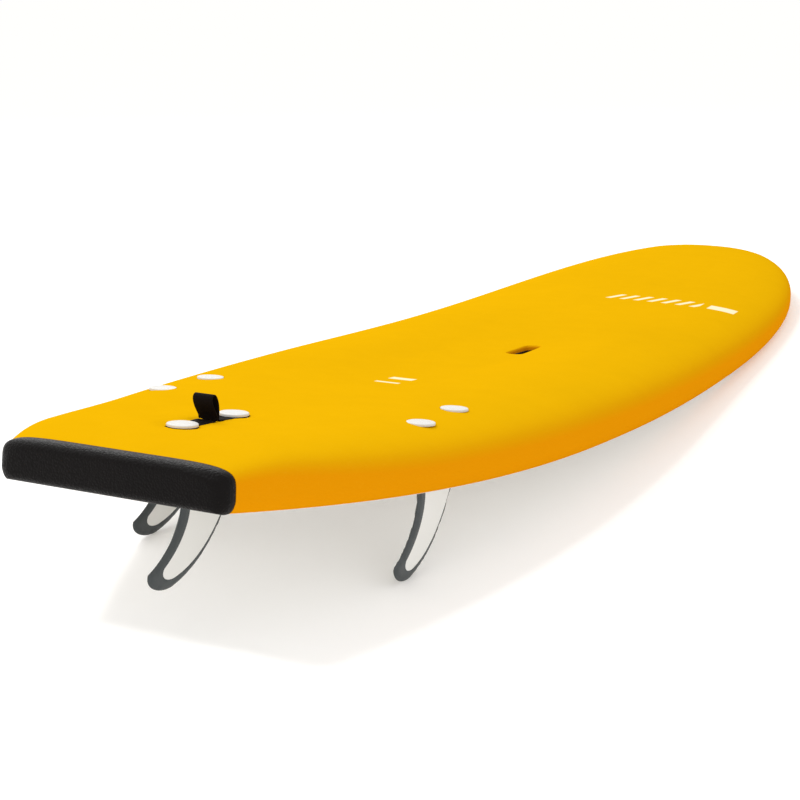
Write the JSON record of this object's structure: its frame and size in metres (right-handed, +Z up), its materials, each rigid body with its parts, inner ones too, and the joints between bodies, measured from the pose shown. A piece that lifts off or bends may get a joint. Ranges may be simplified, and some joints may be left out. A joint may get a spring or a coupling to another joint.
{
  "type": "surfboard",
  "caption": "Soft-top surfboard with a rounded nose, square black tail block, deck carry slot, webbing leash loop and raked bolt-on fins.",
  "frame": {"origin": "on the floor under the middle of the bounding box, with the board standing on its side fins and its belly", "axes": "+Y from tail to nose along the floor, +X to starboard, +Z up; the board itself lies about 6 degrees nose-down"},
  "size_m": [0.602, 2.495, 0.2397],
  "materials": {
    "yellow_foam_skin": "satin",
    "bottom_sheet": "satin",
    "bumper_rubber": "satin",
    "foam_core": "matte",
    "stringer_wood": "matte",
    "slot_plastic": "matte",
    "webbing": "matte",
    "fin_edge": "satin",
    "fin_panel": "satin",
    "insert_brass": "satin",
    "cap_plastic": "satin",
    "bolt_steel": "satin",
    "sleeve_plastic": "satin"
  },
  "bodies": {
    "board": {"core_left": "foam_core", "stringer_left": "stringer_wood", "core_centre": "foam_core", "stringer_right": "stringer_wood", "core_right": "foam_core", "deck_skin": "yellow_foam_skin", "bottom_slick": "bottom_sheet", "tail_bumper": "bumper_rubber", "carry_slot_cup": "slot_plastic", "sleeve_centre_rear": "sleeve_plastic", "sleeve_centre_front": "sleeve_plastic", "sleeve_left_rear": "sleeve_plastic", "sleeve_left_front": "sleeve_plastic", "sleeve_right_rear": "sleeve_plastic", "sleeve_right_front": "sleeve_plastic", "leash_strap_rear": "webbing", "leash_strap_front": "webbing"},
    "leash_loop": {"leash_loop": "webbing"},
    "fin_centre": {"fin_centre_panel": "fin_panel", "fin_centre_insert_rear": "insert_brass", "fin_centre_insert_front": "insert_brass", "fin_centre_rim": "fin_edge"},
    "bolt_centre_rear": {"bolt_cap_centre_rear": "cap_plastic", "bolt_centre_rear": "bolt_steel"},
    "bolt_centre_front": {"bolt_cap_centre_front": "cap_plastic", "bolt_centre_front": "bolt_steel"},
    "fin_left": {"fin_left_panel": "fin_panel", "fin_left_insert_rear": "insert_brass", "fin_left_insert_front": "insert_brass", "fin_left_rim": "fin_edge"},
    "bolt_left_rear": {"bolt_cap_left_rear": "cap_plastic", "bolt_left_rear": "bolt_steel"},
    "bolt_left_front": {"bolt_cap_left_front": "cap_plastic", "bolt_left_front": "bolt_steel"},
    "fin_right": {"fin_right_panel": "fin_panel", "fin_right_insert_rear": "insert_brass", "fin_right_insert_front": "insert_brass", "fin_right_rim": "fin_edge"},
    "bolt_right_rear": {"bolt_cap_right_rear": "cap_plastic", "bolt_right_rear": "bolt_steel"},
    "bolt_right_front": {"bolt_cap_right_front": "cap_plastic", "bolt_right_front": "bolt_steel"}
  },
  "joints": [
    {"name": "leash_loop_fold", "type": "hinge", "parent": "board", "child": "leash_loop", "pos_m": [0, -1.05057, 0.20874], "axis": [1, 0, 0], "range_deg": [-40, 40], "stiffness_Nm_per_rad": 0.02},
    {"name": "bolt_centre_rear_turn", "type": "hinge", "parent": "board", "child": "bolt_centre_rear", "pos_m": [0, -1.10424, 0.21476], "axis": [0, 0.1017, 0.9948], "range_deg": [0, 4320]},
    {"name": "bolt_centre_front_turn", "type": "hinge", "parent": "board", "child": "bolt_centre_front", "pos_m": [0, -0.99711, 0.20073], "axis": [0, 0.1017, 0.9948], "range_deg": [0, 4320]},
    {"name": "fin_centre_slide", "type": "slide", "parent": "board", "child": "fin_centre", "axis": [0, -0.1017, -0.9948], "range_m": [0, 0.012]},
    {"name": "bolt_left_rear_turn", "type": "hinge", "parent": "board", "child": "bolt_left_rear", "pos_m": [-0.1776, -0.87296, 0.18084], "axis": [0, 0.1017, 0.9948], "range_deg": [0, 4320]},
    {"name": "bolt_left_front_turn", "type": "hinge", "parent": "board", "child": "bolt_left_front", "pos_m": [-0.1744, -0.76543, 0.17125], "axis": [0, 0.1017, 0.9948], "range_deg": [0, 4320]},
    {"name": "fin_left_slide", "type": "slide", "parent": "board", "child": "fin_left", "axis": [0, -0.1017, -0.9948], "range_m": [0, 0.012]},
    {"name": "bolt_right_rear_turn", "type": "hinge", "parent": "board", "child": "bolt_right_rear", "pos_m": [0.1776, -0.87296, 0.18084], "axis": [0, 0.1017, 0.9948], "range_deg": [0, 4320]},
    {"name": "bolt_right_front_turn", "type": "hinge", "parent": "board", "child": "bolt_right_front", "pos_m": [0.1744, -0.76543, 0.17125], "axis": [0, 0.1017, 0.9948], "range_deg": [0, 4320]},
    {"name": "fin_right_slide", "type": "slide", "parent": "board", "child": "fin_right", "axis": [0, -0.1017, -0.9948], "range_m": [0, 0.012]}
  ],
  "couplings": [
    {"joint": "bolt_centre_rear_turn", "follows": "fin_centre_slide", "rad_per_m": 6283},
    {"joint": "bolt_centre_front_turn", "follows": "fin_centre_slide", "rad_per_m": 6283},
    {"joint": "bolt_left_rear_turn", "follows": "fin_left_slide", "rad_per_m": 6283},
    {"joint": "bolt_left_front_turn", "follows": "fin_left_slide", "rad_per_m": 6283},
    {"joint": "bolt_right_rear_turn", "follows": "fin_right_slide", "rad_per_m": 6283},
    {"joint": "bolt_right_front_turn", "follows": "fin_right_slide", "rad_per_m": 6283}
  ]
}
